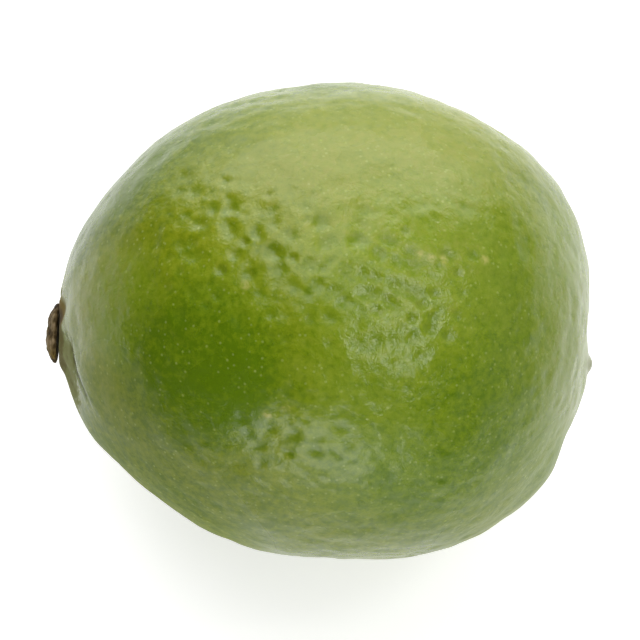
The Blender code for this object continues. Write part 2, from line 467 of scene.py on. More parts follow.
def dry_skin(points, directions):
    """How dry each place is, the groove's mark for painted light (1 for the highlight on its lip, -1 for
    the shade in it), and how far the skin moves.
    """
    distance, angle = round_the_axis(points)
    above, share = beside_groove(points)
    collar = 1 - soft_ramp(COLLAR_INNER, COLLAR_OUTER, distance)
    below = (1 - soft_ramp(*PATCH_EDGE, above)) * soft_ramp(*PATCH_TURN, np.abs(angle))
    patch = PATCH_DRYNESS * below * (1 - soft_ramp(0.6 * PATCH_RADIUS, PATCH_RADIUS, distance))
    stem_side = soft_ramp(*STEM_SIDE, points[:, 0])
    dry = np.maximum(collar, patch) * stem_side
    off_seat = soft_ramp(SEAT_RADIUS, 1.3 * SEAT_RADIUS, distance)
    move = CREASE * dry * swells(directions, CREASE_SIZE, 9)
    near_nipple = soft_bump(distance, BLOSSOM_CREASE_RADIUS) * (points[:, 0] > 0)
    move += BLOSSOM_CREASE * near_nipple * swells(directions, BLOSSOM_CREASE_SIZE, 10)
    above = above + GROOVE_WAVER * swells(directions, GROOVE_WAVER_SIZE, 11)
    # the lip is marked for a painted highlight, and the groove for painted shade
    lip = soft_bump(above - LIP_MARK[0], LIP_MARK[1])
    groove = soft_bump(above - GROOVE_MARK[0], GROOVE_MARK[1])
    mark = share**2 * (lip - groove)
    return dry, mark * stem_side, move * off_seat


print("the dry collar is", round(1000 * COLLAR_OUTER, 1), "mm in radius")

# %% [markdown]
# ## Put the rind together
#
# The steps run in the order in which the fruit takes its form: belly, lumps, pores, the two ends, and at
# last the flat spot. The seat under the button stays clear of pores. The finished net stands for the
# solid fruit and rides on the same body. It also remembers how deep each corner lies in a pore, how dry
# it is, and the groove's mark for its painted shade and its lip's painted highlight, because the colour
# uses them later.

# %% Form the rind
RIPPLE = 0.00012
RIPPLE_SIZE = 0.0034
FINER = 0.6
WRINKLE = 0.00002
WRINKLE_SIZE = 0.0013
CLEAR_OF_PORES = 2.4  # times the seat's radius

ripples = RIPPLE * (
    swells(directions, RIPPLE_SIZE, 5) + FINER * swells(directions, FINER * RIPPLE_SIZE, 6)
)
ripples += WRINKLE * swells(directions, WRINKLE_SIZE, 8)
swelling = SWELLING * swells(directions, SWELL_SIZE) + lumps(directions)
smooth_skin = places + directions * swelling[:, None]
floor_level = smooth_skin[:, 2].min() + FLAT_DEPTH
from_axis, _ = round_the_axis(smooth_skin)
open_skin = soft_ramp(SEAT_RADIUS, CLEAR_OF_PORES * SEAT_RADIUS, from_axis)
skin = smooth_skin + directions * ((ripples - hollows) * open_skin)[:, None]
blossom_end(skin)
stem_end(skin)
dryness, groove_light_mark, move = dry_skin(skin, directions)
skin[:, 0] += move * np.sign(skin[:, 0])
flat_spot(skin, floor_level)
print("height of the fruit:", round(1000 * float(skin[:, 2].max()), 1), "mm")

# %% Make it the piece that stands for the fruit
rind_mesh.vertices.foreach_set("co", skin.ravel())
rind_mesh.shade_smooth()
for name, values in (
    ("pore_depth", hollows * open_skin / PORE_DEPTH),
    ("dryness", dryness),
    ("groove_light_mark", groove_light_mark),
):
    stored = rind_mesh.attributes.new(name, "FLOAT", "POINT")
    stored.data.foreach_set("value", values.astype(np.float32))
rind = bpy.data.objects.new("rind", rind_mesh)
bpy.context.scene.collection.objects.link(rind)
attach(rind, "root")
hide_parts("fruit")
print("rind is", [round(1000 * side, 1) for side in rind.dimensions], "mm")

# %% [markdown]
# ## A short way to write nodes
#
# A finish is a small network of nodes. Written out in full, each one takes several lines, so this helper
# makes a node, fills in its plain values, and joins its inputs to other nodes' outputs in one call.

# %% Node helper
class Finish:
    """A material whose nodes are made one call at a time."""

    def __init__(self, name):
        self.material = bpy.data.materials.new(name)
        self.material.use_nodes = True
        self.nodes = self.material.node_tree.nodes
        self.links = self.material.node_tree.links
        self.shader = self.nodes["Principled BSDF"]

    def put(self, socket, value):
        """Join another node's output to a socket, or give the socket a plain value."""
        if isinstance(value, bpy.types.NodeSocket):
            self.links.new(value, socket)
        else:
            socket.default_value = value

    def node(self, kind, settings=None, out=0, **inputs):
        """A new node's output. Its inputs go by name, or by number as n0, n1 and so on."""
        made = self.nodes.new(kind)
        for name, value in (settings or {}).items():
            setattr(made, name, value)
        for name, value in inputs.items():
            numbered = name[0] == "n" and name[1:].isdigit()
            self.put(made.inputs[int(name[1:]) if numbered else name.replace("_", " ")], value)
        return made.outputs[out]

    def surface(self, **inputs):
        """Fill or join the inputs of the shader itself."""
        for name, value in inputs.items():
            self.put(self.shader.inputs[name.replace("_", " ")], value)

    def kept(self, name):
        """A number that was stored with the corners of the mesh."""
        return self.node("ShaderNodeAttribute", {"attribute_name": name}, out=2)

    def math(self, operation, first, second=0.0, third=0.0):
        return self.node("ShaderNodeMath", {"operation": operation}, n0=first, n1=second, n2=third)

    def vector_math(self, operation, first, second, out=0):
        return self.node("ShaderNodeVectorMath", {"operation": operation}, out, n0=first, n1=second)

    def noise(self, where, size, detail=2.0, roughness=0.5):
        return self.node(
            "ShaderNodeTexNoise", Vector=where, Scale=1 / size, Detail=detail, Roughness=roughness
        )

    def ramp(self, value, low, high, to_low=0.0, to_high=1.0):
        settings = {"interpolation_type": "SMOOTHSTEP"}
        return self.node(
            "ShaderNodeMapRange", settings, n0=value, n1=low, n2=high, n3=to_low, n4=to_high
        )

    def near(self, where, middle, inner, outer):
        """1 within inner of a point, 0 beyond outer."""
        away = self.vector_math("DISTANCE", where, middle, out=1)
        return self.ramp(away, inner, outer, 1.0, 0.0)

    def sway(self, pattern, amount):
        """A pattern from 0 to 1, made into a push either way."""
        return self.math("MULTIPLY", self.math("SUBTRACT", pattern, 0.5), amount)

    def mix(self, factor, first, second, blend="MIX"):
        made = self.nodes.new("ShaderNodeMix")
        made.data_type = "RGBA"
        made.blend_type = blend
        self.put(made.inputs[0], factor)
        self.put(made.inputs[6], first)
        self.put(made.inputs[7], second)
        return made.outputs[2]

    def lay(self, shade, over, mask, strength):
        """Lay a shade over a colour where the mask is 1, as strongly as strength says."""
        return self.mix(self.math("MULTIPLY", mask, strength), over, shade)

    def shades(self, value, *stops):
        """A run of colours, given as (place from 0 to 1, colour)."""
        made = self.nodes.new("ShaderNodeValToRGB")
        self.put(made.inputs[0], value)
        run = made.color_ramp.elements
        run[0].position, run[0].color = stops[0]
        run[1].position, run[1].color = stops[-1]
        for place, colour in stops[1:-1]:
            run.new(place).color = colour
        return made.outputs[0]


rind_finish = Finish("rind_waxy_green")
where = rind_finish.node("ShaderNodeTexCoord", out=3)
print("finish started:", rind_finish.material.name)

# %% [markdown]
# ## The greens of the rind
#
# The colour of a lime changes slowly over the fruit: cheeks that had sun turn yellower and paler, and
# shaded ones stay deep green. One deep cheek, on the front, is painted shade instead. Such soft areas are
# listed one by one. Each is a direction from the belly's middle, the radius of its full strength, the
# radius where it ends, and an amount. One number, the sun that each place had less the painted shade,
# adds them up, and a run of four greens turns it into colour.

# %% Greens and cheeks
DEEP_GREEN = (0.082, 0.150, 0.0005, 1)
LEAF_GREEN = (0.133, 0.203, 0.003, 1)
PALE_GREEN = (0.172, 0.238, 0.010, 1)
SUN_GREEN = (0.200, 0.250, 0.022, 1)
SUNNY_CHEEKS = (
    ((0.25, -0.20, 0.95), 0.002, 0.014, 0.22),
    ((0.05, 0.62, 0.78), 0.006, 0.024, 0.32),
    ((-0.06, -0.72, 0.69), 0.002, 0.014, 0.10),
    ((0.47, 0.10, 0.88), 0.001, 0.010, 0.15),
    ((0.93, -0.12, 0.33), 0.006, 0.018, 0.42),
    ((-0.86, -0.05, 0.50), 0.002, 0.010, 0.36),
    ((0.10, 0.80, -0.55), 0.006, 0.030, 0.35),
)
SHADY_CHEEKS_AND_PAINTED_SHADE = (
    ((-0.58, -0.42, 0.70), 0.003, 0.014, 0.40),
    ((-0.38, -0.50, 0.78), 0.001, 0.009, 0.15),
    ((0.62, -0.45, 0.65), 0.003, 0.016, 0.22),
    ((0.76, 0.0, 0.65), 0.002, 0.010, 0.12),
    ((-0.42, 0.80, 0.43), 0.004, 0.020, 0.32),
    # painted shade: the cheek on the front is made darker green
    ((0.05, -0.93, 0.30), 0.006, 0.022, 0.22),
    ((-0.88, 0.35, 0.30), 0.003, 0.014, 0.50),
    ((-0.93, -0.36, 0.05), 0.003, 0.012, 0.20),
    ((-0.66, -0.75, 0.05), 0.003, 0.016, 0.15),
    ((0.0, 0.95, 0.25), 0.003, 0.014, 0.25),
    ((-0.30, -0.20, -0.93), 0.006, 0.030, 0.35),
)


def on_skin(towards):
    """The corner of the finished net that lies in a direction from the belly's middle."""
    return tuple(float(value) for value in skin[np.argmax(directions @ unit(towards))])


print("greens placed for", len(SUNNY_CHEEKS) + len(SHADY_CHEEKS_AND_PAINTED_SHADE), "cheeks")

# %% [markdown]
# ## Clouds, blotches and mottle
#
# Listed areas alone look airbrushed. Noise at three sizes breaks them up: broad clouds, thumb-print
# blotches, and the fine mottle of the gland layer under the wax. The blotches are used again later, for
# the glands and the gloss, because a waxy skin changes in all of these at once.

# %% Turn sun into green
CLOUD_SIZE = 0.016
CLOUD_AMOUNT = 0.55
BLOTCH_SIZE = 0.0045
BLOTCH_AMOUNT = 0.50
MOTTLE_SIZE = 0.0008
MOTTLE_AMOUNT = 1.5
SUN_MIDDLE = 0.45

clouds = rind_finish.noise(where, CLOUD_SIZE, 2)
blotches = rind_finish.noise(where, BLOTCH_SIZE, 3, 0.6)
mottle = rind_finish.noise(where, MOTTLE_SIZE, 3, 0.7)

sun_and_painted_shade = rind_finish.math("SUBTRACT", clouds, 0.5)
sun_and_painted_shade = rind_finish.math("MULTIPLY_ADD", sun_and_painted_shade, CLOUD_AMOUNT, SUN_MIDDLE)
for cheeks, sign in ((SUNNY_CHEEKS, 1), (SHADY_CHEEKS_AND_PAINTED_SHADE, -1)):
    for towards, inner, outer, amount in cheeks:
        cheek = rind_finish.near(where, on_skin(towards), inner, outer)
        sun_and_painted_shade = rind_finish.math("ADD", sun_and_painted_shade, rind_finish.math("MULTIPLY", cheek, sign * amount))
for pattern, amount in ((blotches, BLOTCH_AMOUNT), (mottle, MOTTLE_AMOUNT)):
    sun_and_painted_shade = rind_finish.math("ADD", sun_and_painted_shade, rind_finish.sway(pattern, amount))
green = rind_finish.shades(
    sun_and_painted_shade, (0.05, DEEP_GREEN), (0.38, LEAF_GREEN), (0.70, PALE_GREEN), (1.0, SUN_GREEN)
)
print("noise at", [1000 * size for size in (CLOUD_SIZE, BLOTCH_SIZE, MOTTLE_SIZE)], "mm")

# %% [markdown]
# ## Paler and fresher sides
#
# Two things change the green without making it sunnier. The top, towards the front, and a patch to its
# upper left are painted paler in all their greens: painted light, which leaves the rims darker. And as a
# picked lime ages, it turns from green towards olive, but not everywhere at once: a few cheeks stay
# fresh. Both are multiplied into the green, so that its mottle stays.

# %% Paler sides and fresh cheeks
PAINTED_LIGHT_PALER = (1.20, 1.18, 1.1, 1)
# painted light: the top, towards the front, and a patch to its upper left, made paler
PAINTED_LIGHT_SIDES = (
    ((0.02, -0.42, 0.90), 0.009, 0.025),
    ((-0.52, 0.02, 0.85), 0.002, 0.013),
)
AGEING_OLIVE = (1.15, 0.99, 1.0, 1)
FRESH_CHEEKS = (
    ((-0.49, -0.37, 0.79), 0.005, 0.014),
    ((-0.80, -0.15, 0.58), 0.003, 0.009),
    ((0.47, -0.35, 0.81), 0.012, 0.026),
    ((0.95, -0.15, 0.28), 0.010, 0.022),
)


def widest(finish, areas):
    """1 on any of the areas, 0 away from all of them."""
    covered = 0.0
    for towards, inner, outer in areas:
        covered = finish.math("MAXIMUM", covered, finish.near(where, on_skin(towards), inner, outer))
    return covered


# the painted light is multiplied in here
green = rind_finish.mix(widest(rind_finish, PAINTED_LIGHT_SIDES), green, PAINTED_LIGHT_PALER, "MULTIPLY")
ageing = rind_finish.math("SUBTRACT", 1.0, widest(rind_finish, FRESH_CHEEKS))
green = rind_finish.mix(ageing, green, AGEING_OLIVE, "MULTIPLY")
print(len(PAINTED_LIGHT_SIDES), "paler sides and", len(FRESH_CHEEKS), "fresh cheeks")

# %% [markdown]
# ## Glands
#
# Under the wax, each oil gland shows as a pale dot, and here and there one stands out almost cream. A
# cell texture gives one point for every cell: the distance to it draws the dot, and the cell's random
# colour decides whether it is shown. The cream ones are bright in some blotches and faint in others. The
# bottoms of the pores get painted shade: they are a little darker, where light gets lost.

# %% Gland dots and painted shade in the pores
PAINTED_PORE_SHADE = (0.075, 0.15, 0.004, 1)
GLAND_PALE = (0.50, 0.56, 0.20, 1)
GLAND_CREAM = (0.42, 0.52, 0.06, 1)
FAINT_DOTS = (0.00075, 0.00020, 0.60)  # spacing, radius, and the share that is shown
CREAM_DOTS = (0.0017, 0.00021, 0.26)
FAINT_STRENGTH = 0.22
CREAM_STRENGTHS = (0.05, 0.28)
PORE_SHADE_STRENGTH = 0.30


def dots(finish, spacing, radius, shown):
    """Round dots, one to a cell, of which a share is shown."""
    cell = finish.node("ShaderNodeTexVoronoi", Vector=where, Scale=1 / spacing, Randomness=1.0)
    lot = finish.node("ShaderNodeSeparateColor", n0=cell.node.outputs["Color"])
    spot = finish.ramp(cell, 0.4 * radius / spacing, radius / spacing, 1.0, 0.0)
    return finish.math("MULTIPLY", spot, finish.math("LESS_THAN", lot, shown))


# painted shade: the bottoms of the pores are made darker
painted_pore_shade = rind_finish.ramp(rind_finish.kept("pore_depth"), 0.15, 1.6, 0.0, PORE_SHADE_STRENGTH)
colour = rind_finish.mix(painted_pore_shade, green, PAINTED_PORE_SHADE)
colour = rind_finish.lay(GLAND_PALE, colour, dots(rind_finish, *FAINT_DOTS), FAINT_STRENGTH)
cream_strength = rind_finish.ramp(blotches, 0.38, 0.62, *CREAM_STRENGTHS)
colour = rind_finish.lay(GLAND_CREAM, colour, dots(rind_finish, *CREAM_DOTS), cream_strength)
print("cells of glands:", 1000 * FAINT_DOTS[0], "mm, and of cream ones:", 1000 * CREAM_DOTS[0], "mm")

# %% [markdown]
# ## Dry skin and groove
#
# Next to the button the rind turns olive and then brown, where the neck has begun to dry. How dry each
# corner is was kept with the mesh. Fine streaks added to it fray its edge, as drying follows the fibres.
# The groove's bottom gets painted shade, dark brown, and its lip a pale painted highlight, both broken up
# by the streaks.

# %% Collar, patch and groove
DRY_OLIVE = (0.190, 0.200, 0.062, 1)
DRY_BROWN = (0.110, 0.086, 0.020, 1)
GROOVE_PAINTED_SHADE = (0.060, 0.058, 0.014, 1)
LIP_PAINTED_HIGHLIGHT = (0.31, 0.36, 0.20, 1)
FRAY = 0.0016
STREAK_SIZE = 0.0007
STREAK_AMOUNT = 0.9
DRY_STRENGTH = 0.9
GROOVE_SHADE_STRENGTH = 0.8
LIP_HIGHLIGHT_STRENGTH = 0.42

frayed = rind_finish.noise(where, FRAY, 3).node.outputs["Color"]
frayed = rind_finish.node("ShaderNodeVectorMath", {"operation": "SCALE"}, n0=frayed, Scale=FRAY)
torn = rind_finish.vector_math("ADD", where, frayed)
streaks = rind_finish.noise(torn, STREAK_SIZE, 3, 0.6)

dry_frayed = rind_finish.sway(streaks, STREAK_AMOUNT)
dry_frayed = rind_finish.math("ADD", rind_finish.kept("dryness"), dry_frayed)
dry_seen = rind_finish.ramp(dry_frayed, 0.25, 0.65)
dry_colour = rind_finish.mix(rind_finish.ramp(dry_frayed, 0.65, 1.05), DRY_OLIVE, DRY_BROWN)
colour = rind_finish.lay(dry_colour, colour, dry_seen, DRY_STRENGTH)

# painted shade in the groove and a painted highlight on its lip, broken up by the streaks
groove_light_breakup = rind_finish.ramp(streaks, 0.30, 0.60, 0.4, 1.0)
mark = rind_finish.math("MULTIPLY", rind_finish.kept("groove_light_mark"), groove_light_breakup)
painted_groove_shade = rind_finish.ramp(mark, -0.1, -0.8, 0.0, GROOVE_SHADE_STRENGTH)
colour = rind_finish.mix(painted_groove_shade, colour, GROOVE_PAINTED_SHADE)
painted_lip_highlight = rind_finish.ramp(mark, 0.10, 1.0, 0.0, LIP_HIGHLIGHT_STRENGTH)
colour = rind_finish.mix(painted_lip_highlight, colour, LIP_PAINTED_HIGHLIGHT)
print("dry skin fades in over streaks of", 1000 * STREAK_SIZE, "mm")

# %% [markdown]
# ## Stain and scar
#
# Above the button sits a rusty stain with a nearly black core, where sap once ran and dried. The nipple
# carries the scar of the flower's style: its pale grey-olive round is partly the scar and partly painted
# haze, and the browner far edge of its tip is partly painted shade. They are soft rounds in space, each
# laid over the colour so far. Their distances are measured from the frayed places, so that their edges
# are torn like the dry skin's.

# %% Rounds at both ends
STAIN_BROWN = (0.150, 0.082, 0.002, 1)
STAIN_DARK = (0.045, 0.026, 0.004, 1)
SCAR_AND_PAINTED_HAZE = (0.36, 0.37, 0.24, 1)
TIP_BROWN_AND_PAINTED_SHADE = (0.10, 0.10, 0.07, 1)
STAIN_INNER = 0.0010
STAIN_OUTER = 0.0024
STAIN_STRENGTH = 0.85

axis_height = AXIS_Z - floor_level
stain_at = (SEAT_X + 0.0012, AXIS_Y + 0.0022, axis_height + 0.0056)
core_at = (SEAT_X + 0.0006, AXIS_Y + 0.0016, axis_height + 0.0047)
nipple_tip = (float(skin[:, 0].max()) + 0.0008, AXIS_Y + 0.0008, axis_height + 0.0008)

stain = rind_finish.near(torn, stain_at, STAIN_INNER, STAIN_OUTER)
colour = rind_finish.lay(STAIN_BROWN, colour, stain, STAIN_STRENGTH)
for middle, inner, outer, shade, strength in (
    (core_at, 0.0006, 0.0017, STAIN_DARK, 0.85),
    # the nipple's scar with painted haze round it, and painted shade on the tip's far edge
    (nipple_tip, 0.0012, 0.0034, SCAR_AND_PAINTED_HAZE, 0.70),
    (nipple_tip, 0.0003, 0.0012, TIP_BROWN_AND_PAINTED_SHADE, 0.55),
):
    colour = rind_finish.lay(shade, colour, rind_finish.near(torn, middle, inner, outer), strength)
print("line through stem and nipple:", round(1000 * float(axis_height), 1), "mm above the table")

# %% [markdown]
# ## Rubbed specks
#
# Where the fruit has knocked against its neighbours, its wax is scuffed to small tan specks. They are
# rare enough to be placed one by one. Each is a round under a millimetre, broken up by the streaks.

# %% Tan specks
RUBBED_TAN = (0.40, 0.39, 0.10, 1)
RUBBED_INNER = 0.0001
RUBBED_OUTER = 0.0008
RUBBED = (
    (0.33, 0.03, 0.94),
    (0.29, 0.05, 0.96),
    (0.38, 0.03, 0.92),
    (0.53, 0.06, 0.84),
    (-0.38, -0.11, 0.92),
    (-0.20, -0.57, 0.79),
    (-0.27, -0.59, 0.76),
)

broken = rind_finish.ramp(streaks, 0.40, 0.60, 0.2, 0.8)
for towards in RUBBED:
    rubbed = rind_finish.near(where, on_skin(towards), RUBBED_INNER, RUBBED_OUTER)
    colour = rind_finish.lay(RUBBED_TAN, colour, rubbed, broken)
print(len(RUBBED), "rubbed specks")

# %% [markdown]
# ## Wax
#
# A thin coat of wax gives the rind its soft shine: reflections are wide and blurred, but still have an
# edge. Its roughness varies with the blotches, as it does after handling. A few cheeks are duller, each
# by its own amount, and dry skin has no shine at all. The largest value wins where they overlap.

# %% Gloss
ROUGH_LEAST = 0.22
ROUGH_SPREAD = 0.10
SOFT_CHEEK = ((-0.10, -0.68, 0.72), 0.003, 0.012, 0.03)
DULL_CHEEKS = (
    ((-0.68, -0.73, 0.0), 0.006, 0.020, 0.70),
    ((-0.81, -0.46, 0.36), 0.003, 0.011, 0.62),
    ((0.74, -0.67, 0.0), 0.007, 0.018, 0.40),
)
DRY_ROUGH = 0.9


def on_cheek(towards, inner, outer, amount):
    """An amount on one cheek of the rind, and 0 away from it."""
    cheek = rind_finish.near(where, on_skin(towards), inner, outer)
    return rind_finish.math("MULTIPLY", cheek, amount)


rough = rind_finish.math("MULTIPLY_ADD", blotches, ROUGH_SPREAD, ROUGH_LEAST)
rough = rind_finish.math("ADD", rough, on_cheek(*SOFT_CHEEK))
for dull_cheek in DULL_CHEEKS:
    rough = rind_finish.math("MAXIMUM", rough, on_cheek(*dull_cheek))
parched = rind_finish.math("MAXIMUM", dry_seen, stain)
rough = rind_finish.math("MAXIMUM", rough, rind_finish.math("MULTIPLY", parched, DRY_ROUGH))
print("roughness of the wax: about", round(ROUGH_LEAST + 0.5 * ROUGH_SPREAD, 2))

# %% [markdown]
# ## Fine grain
#
# The finest relief is too small for the net, so it is a bump. It adds two noises: a grain of about a
# millimetre, and finer cups that break a highlight into sparkle. The cups are deeper in some blotches,
# and deepest on one cheek. Light also passes a little way into the skin, red and green further than blue,
# which keeps the green warm.

# %% Bump, and the finished rind
GRAIN_SIZE = 0.0011
GRAIN_AMOUNT = 0.8
CUP_SIZE = 0.00065
CUP_AMOUNTS = (0.8, 1.8)
SPARKLING_CHEEK = ((0.26, -0.20, 0.94), 0.004, 0.011, 1.1)
RELIEF = 0.00004

cup_depth = rind_finish.ramp(blotches, 0.35, 0.65, *CUP_AMOUNTS)
cup_depth = rind_finish.math("ADD", on_cheek(*SPARKLING_CHEEK), cup_depth)
cups = rind_finish.math("MULTIPLY", rind_finish.noise(torn, CUP_SIZE, 2, 0.6), cup_depth)
grain = rind_finish.math("MULTIPLY", rind_finish.noise(where, GRAIN_SIZE, 1, 0.5), GRAIN_AMOUNT)
relief = rind_finish.math("ADD", cups, grain)
bump = rind_finish.node("ShaderNodeBump", Height=relief, Distance=RELIEF, Strength=1.0)
rind_finish.surface(Base_Color=colour, Roughness=rough, Normal=bump, IOR=1.45)
rind_finish.surface(Subsurface_Weight=0.12, Subsurface_Scale=0.0008)
rind_finish.surface(Subsurface_Radius=(1.0, 1.0, 0.3))
rind_mesh.materials.append(rind_finish.material)
print("nodes in the rind's finish:", len(rind_finish.nodes))

# %% [markdown]
# ## The stem button
#
# The button is what is left of the flower's calyx: five blunt lobes, dried hard and grey-brown, round
# the scar where the stalk broke off. A disc of rings and spokes suits it, because everything on it is
# either round or runs out from the middle: cracks, ridges and the frayed rim. Its cut outline is given as
# shares of radius and height. It runs from the middle of the underside, round the rim and up the lobes,
# to the bottom of the scar.

# %% Outline of the button
BUTTON_RADIUS = 0.0033
BUTTON_THICKNESS = 0.0012
BUTTON_GAP = 0.0003
RINGS = 90
SPOKES = 220
PROFILE = (
    (0.0, 0.0),
    (0.45, 0.0),
    (0.90, 0.0),
    (0.98, 0.07),
    (1.00, 0.20),
    (0.97, 0.36),
    (0.88, 0.54),
    (0.76, 0.72),
    (0.64, 0.84),
    (0.56, 0.93),
    (0.49, 1.00),
    (0.42, 0.80),
    (0.22, 0.71),
    (0.0, 0.71),
)


def profile_points(count):
    """Even steps along the button's cut outline, as (share of the radius, share of the height)."""
    corners = np.array(PROFILE)
    steps = np.hypot(*(np.diff(corners, axis=0) * (BUTTON_RADIUS, BUTTON_THICKNESS)).T)
    run = np.concatenate([[0], np.cumsum(steps)])
    at = np.linspace(0, run[-1], count)
    return np.interp(at, run, corners[:, 0]), np.interp(at, run, corners[:, 1])


print("scar in the button:", round(1000 * BUTTON_THICKNESS * (1 - PROFILE[-1][1]), 2), "mm deep")

# %% Woody relief
FIBRE_HEIGHT = 0.00010
FIBRES_ROUND = 2.2
FIBRES_OUT = 5
CRUST_HEIGHT = 0.00009
CRUST_LUMPS = 3.2 * 2.2
CRUST_UP = 2


def woody_relief(share, angle, height):
    """Fibres that run out from the middle, and crusty lumps on them."""
    relief = np.empty(share.shape)
    for row, column in np.ndindex(*share.shape):
        out, turn, up = share[row, column], angle[row, column], height[row, column]
        x, y = math.cos(turn), math.sin(turn)
        along = Vector((0, 0, out * FIBRES_OUT + up * FIBRES_OUT))
        fibres = noise.noise(Vector((x, y, 0)) * FIBRES_ROUND + along)
        crust = noise.noise(Vector((x * out * CRUST_LUMPS, y * out * CRUST_LUMPS, up * CRUST_UP)))
        relief[row, column] = FIBRE_HEIGHT * fibres + CRUST_HEIGHT * crust
    return relief


print("relief of the button: up to", round(1000 * (FIBRE_HEIGHT + CRUST_HEIGHT), 2), "mm")

# %% Join rings and spokes
def ring_faces(rings, spokes):
    """Squares between neighbouring rings, and a fan of triangles at either end."""
    faces = []
    for start in range(0, (rings - 1) * spokes, spokes):
        for spoke in range(spokes):
            this, beside = start + spoke, start + (spoke + 1) % spokes
            faces.append((this, beside, beside + spokes, this + spokes))
    last = (rings - 1) * spokes
    bottom, top = rings * spokes, rings * spokes + 1
    for spoke in range(spokes):
        beside = (spoke + 1) % spokes
        faces.append((beside, spoke, bottom))
        faces.append((last + spoke, last + beside, top))
    return faces


print("faces of the button:", len(ring_faces(RINGS - 2, SPOKES)))

# %% Form the button
LOBES = 5
LOBE_DEPTH = 0.11
NOTCH_SHARPNESS = 3
RIM_FRAY = 18
CREST = 0.00015


def button_mesh():
    shares, heights = (values[1:-1] for values in profile_points(RINGS))
    turns = np.arange(SPOKES) * 2 * math.pi / SPOKES
    share, angle = np.meshgrid(shares, turns, indexing="ij")
    height = np.meshgrid(heights, turns, indexing="ij")[0]
    relief = woody_relief(share, angle, height)

    notch = (0.5 - 0.5 * np.cos(LOBES * angle)) ** NOTCH_SHARPNESS
    radius = BUTTON_RADIUS * share * (1 - LOBE_DEPTH * soft_ramp(0.45, 1.0, share) * notch)
    radius = radius * (1 + RIM_FRAY * relief * soft_ramp(0.75, 1.0, share))
    up = BUTTON_THICKNESS * height + relief * soft_ramp(0.25, 0.6, height)
    points = np.stack([-up, radius * np.cos(angle), radius * np.sin(angle)], axis=-1).reshape(-1, 3)
    middles = [[0, 0, 0], [-BUTTON_THICKNESS * PROFILE[-1][1], 0, 0]]

    mesh = bpy.data.meshes.new("stem_button_fine")
    mesh.from_pydata(points.tolist() + middles, [], ring_faces(*share.shape))
    crest = np.concatenate([(relief / CREST).ravel(), [0, 0]]).astype(np.float32)
    mesh.attributes.new("crest", "FLOAT", "POINT").data.foreach_set("value", crest)
    net = bmesh.new()
    net.from_mesh(mesh)
    bmesh.ops.recalc_face_normals(net, faces=net.faces)
    net.to_mesh(mesh)
    net.free()
    mesh.shade_smooth()
    return mesh


button = bpy.data.objects.new("stem_button_dried", button_mesh())
button.location = (SEAT_X - BUTTON_GAP, AXIS_Y, axis_height)
bpy.context.scene.collection.objects.link(button)
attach(button, "root")
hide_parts("stem_button")
print("button is", [round(1000 * side, 2) for side in button.dimensions], "mm")

# %% [markdown]
# ## Dried calyx
#
# Dry plant tissue is matt. Its colour runs from nearly black to a pale grey-brown: noise in the fibres and
# crust varies it at random, and the relief adds painted light, a painted highlight on the crests and
# painted shade in the creases. The fibres run out from the middle. The crests were kept with the mesh,
# and noise adds the rest. The lobe at the back gets a painted shadow, nearly black, and the one in front
# is still straw-coloured.

# %% Finish of the button
DARK_BROWN_AND_CREASE_SHADE = (0.034, 0.021, 0.007, 1)
BARK_BROWN = (0.125, 0.086, 0.034, 1)
PALE_GREY_AND_CREST_HIGHLIGHT = (0.27, 0.20, 0.11, 1)
LOBE_INNER = 0.0002
LOBE_TINT_AND_PAINTED_SHADOW = (
    # the lobe at the back gets a painted shadow, nearly black; the one in front a straw tint
    ((-0.0005, 0.0030, 0.0010), 0.0022, (0.22, 0.18, 0.14, 1)),
    ((-0.0005, -0.0030, 0.0010), 0.0020, (0.95, 0.92, 0.35, 1)),
)
FIBRE_STRETCH = (2.6, 0.8, 0.8)
FIBRE_SIZE = 0.0006
FIBRE_AMOUNT = 0.9
FIBRE_RELIEF = 0.00012
CRUST_SIZE = 0.0013
CRUST_AMOUNT = 0.6
CREST_PAINTED_LIGHT_AMOUNT = 0.35
MATT = (0.92, 0.68)

button_finish = Finish("dried_calyx_woody")
at = button_finish.node("ShaderNodeTexCoord", out=3)
fibre = button_finish.vector_math("MULTIPLY", at, FIBRE_STRETCH)
fibre = button_finish.noise(fibre, FIBRE_SIZE, 4, 0.65)
fibres_seen = button_finish.math("MULTIPLY", fibre, FIBRE_AMOUNT)
crust_seen = button_finish.noise(at, CRUST_SIZE, 3, 0.6)
crust_seen = button_finish.math("MULTIPLY", crust_seen, CRUST_AMOUNT)
# painted light: the crests of the relief paler, its creases darker
crest_painted_light = button_finish.math("MULTIPLY", button_finish.kept("crest"), CREST_PAINTED_LIGHT_AMOUNT)
pale = button_finish.math("ADD", fibres_seen, crust_seen)
pale = button_finish.ramp(button_finish.math("ADD", crest_painted_light, pale), 0.45, 1.10)
wood = button_finish.shades(pale, (0.0, DARK_BROWN_AND_CREASE_SHADE), (0.50, BARK_BROWN), (1.0, PALE_GREY_AND_CREST_HIGHLIGHT))
for lobe, reach, shade in LOBE_TINT_AND_PAINTED_SHADOW:
    lobe_seen = button_finish.near(at, lobe, LOBE_INNER, reach)
    wood = button_finish.mix(lobe_seen, wood, shade, "MULTIPLY")
fibre_bump = button_finish.node("ShaderNodeBump", Height=fibre, Distance=FIBRE_RELIEF, Strength=1.0)
matt = button_finish.ramp(fibre, 0.3, 0.7, *MATT)
button_finish.surface(Base_Color=wood, Roughness=matt, Normal=fibre_bump, Specular_IOR_Level=0.12)
button.data.materials.append(button_finish.material)
print("nodes in the button's finish:", len(button_finish.nodes))

# %% [markdown]
# ## The table
#
# The lime lies on a plain pale surface. It is large enough to fill the view from any side, and to light
# the fruit from below, which is what makes the rim of the lime glow. It also glows faintly by itself
# round the fruit, and hardly at all further out: painted light, which lifts the fruit's shadow on the
# floor and brightens the rim.

